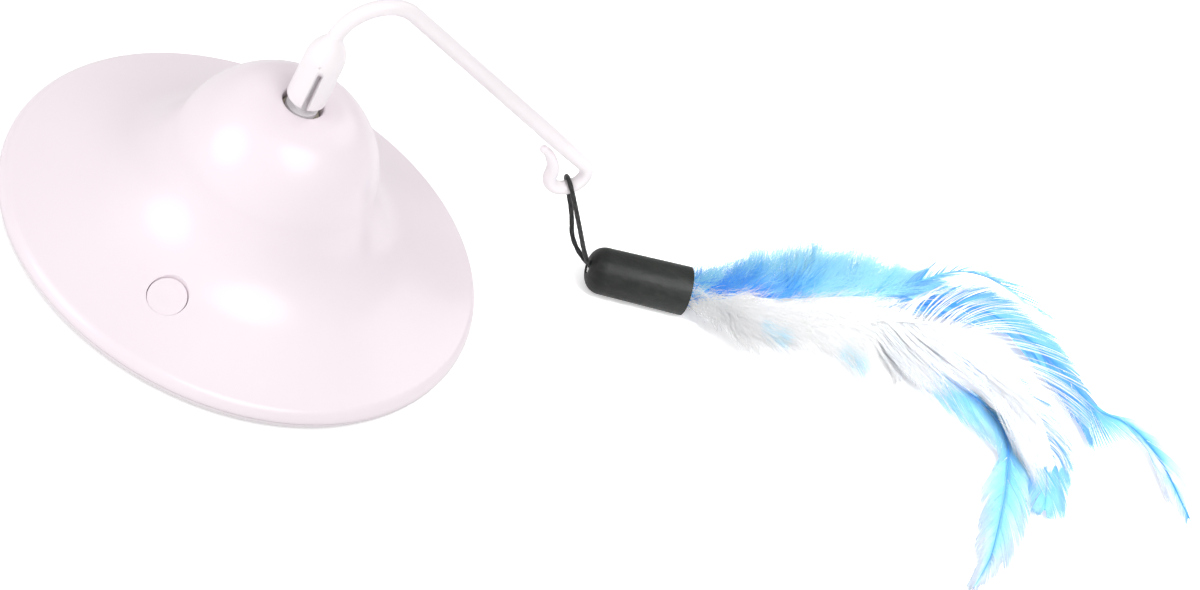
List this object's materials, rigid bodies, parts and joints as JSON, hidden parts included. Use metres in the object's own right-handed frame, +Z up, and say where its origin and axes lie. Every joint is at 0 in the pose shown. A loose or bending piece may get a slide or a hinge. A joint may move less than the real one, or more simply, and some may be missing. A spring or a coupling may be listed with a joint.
{
  "type": "electronic cat toy",
  "caption": "Domed electric cat toy with a wide brim, a push button, and a spinning bent wand that trails a feather lure on a cord.",
  "frame": {"origin": "centre of the base on the floor, at the foot of the wand's spin axis", "axes": "+Z up along the spin axis, +X to the right and +Y away from the picture's camera; the wand points about 36 degrees from +X towards +Y"},
  "size_m": [0.4406, 0.2572, 0.1283],
  "materials": {
    "shell_white": "gloss",
    "base_white": "gloss",
    "wand_white": "gloss",
    "spindle_grey": "matte",
    "foot_rubber": "matte",
    "cell_jacket": "satin",
    "contact_steel": "satin",
    "screw_steel": "satin",
    "gear_white": "matte",
    "gearbox_grey": "matte",
    "bush_plastic": "matte",
    "motor_steel": "satin",
    "motor_cap": "matte",
    "magnet_black": "matte",
    "terminal_brass": "satin",
    "board_green": "satin",
    "chip_black": "matte",
    "lead_jacket": "satin",
    "cord_black": "woven",
    "sleeve_black": "satin",
    "resin": "satin",
    "down_blue": "down",
    "down_white": "down",
    "feather_white": "feather",
    "feather_blue": "feather",
    "feather_sky": "feather"
  },
  "bodies": {
    "base": {"base_plate": "base_white", "upper_shell": "shell_white", "foot_ring": "foot_rubber", "battery_door": "base_white", "door_screw": "screw_steel", "battery_cell_1": "cell_jacket", "battery_cell_2": "cell_jacket", "battery_cell_3": "cell_jacket", "flat_contacts": "contact_steel", "spring_contacts": "contact_steel", "shell_screws": "screw_steel", "gearbox_base": "gearbox_grey", "gearbox_cover": "gearbox_grey", "gearbox_screws": "screw_steel", "mounting_screws": "screw_steel", "idler_pins": "screw_steel", "spindle_bush": "bush_plastic", "thrust_washer": "bush_plastic", "motor_can": "motor_steel", "motor_end_cap": "motor_cap", "motor_magnets": "magnet_black", "motor_terminals": "terminal_brass", "control_board": "board_green", "board_parts": "chip_black", "board_screws": "screw_steel", "push_switch": "chip_black", "battery_leads": "lead_jacket", "motor_leads": "lead_jacket"},
    "motor_rotor": {"motor_armature": "magnet_black", "motor_shaft": "motor_steel", "motor_pinion": "gear_white"},
    "first_idler": {"first_idler_gear": "gear_white"},
    "second_idler": {"second_idler_gear": "gear_white"},
    "spindle": {"output_gear": "gear_white", "drive_spindle": "spindle_grey"},
    "wand": {"wand": "wand_white"},
    "cord": {"loop_cord": "cord_black"},
    "lure": {"lure_sleeve": "sleeve_black", "cord_crimp": "terminal_brass", "quill_plug": "resin", "blue_marabou": "down_blue", "white_marabou": "down_white", "white_plume": "feather_white", "blue_hackle": "feather_blue", "sky_feather": "feather_sky", "small_blue_feather": "feather_sky", "wisp_feather": "feather_white"},
    "button": {"power_button": "shell_white"},
    "plunger": {"switch_plunger": "gear_white"}
  },
  "joints": [
    {"name": "wand_spin", "type": "hinge", "parent": "base", "child": "spindle", "pos_m": [0, 0, 0.06], "axis": [0, 0, 1], "continuous": true},
    {"name": "second_idler_spin", "type": "hinge", "parent": "base", "child": "second_idler", "pos_m": [-0.01212, 0.007, 0.055], "axis": [0, 0, 1], "continuous": true},
    {"name": "first_idler_spin", "type": "hinge", "parent": "base", "child": "first_idler", "pos_m": [-0.01212, -0.007, 0.051], "axis": [0, 0, 1], "continuous": true},
    {"name": "motor_spin", "type": "hinge", "parent": "base", "child": "motor_rotor", "pos_m": [0, -0.014, 0.035], "axis": [0, 0, 1], "continuous": true},
    {"name": "wand_pull", "type": "slide", "parent": "spindle", "child": "wand", "axis": [0, 0, 1], "range_m": [0, 0.0172]},
    {"name": "lure_swing", "type": "hinge", "parent": "wand", "child": "cord", "pos_m": [0.09518, 0.06941, 0.0432], "axis": [0.5892, -0.808, 0], "range_deg": [0, 50]},
    {"name": "sleeve_tilt", "type": "hinge", "parent": "cord", "child": "lure", "pos_m": [0.11637, 0.06882, 0.0091], "axis": [0.5892, -0.808, 0], "range_deg": [-50, 0]},
    {"name": "button_press", "type": "slide", "parent": "base", "child": "button", "axis": [0, 0, -1], "range_m": [0, 0.0012], "stiffness_N_per_m": 400, "springref_m": -0.0004},
    {"name": "switch_press", "type": "slide", "parent": "base", "child": "plunger", "axis": [0, 0, -1], "range_m": [0, 0.0012]}
  ],
  "couplings": [
    {"joint": "second_idler_spin", "follows": "wand_spin", "ratio": -3.6667},
    {"joint": "first_idler_spin", "follows": "wand_spin", "ratio": 13.444},
    {"joint": "motor_spin", "follows": "wand_spin", "ratio": -61.844},
    {"joint": "sleeve_tilt", "follows": "lure_swing", "ratio": -1},
    {"joint": "switch_press", "follows": "button_press", "ratio": 1}
  ]
}
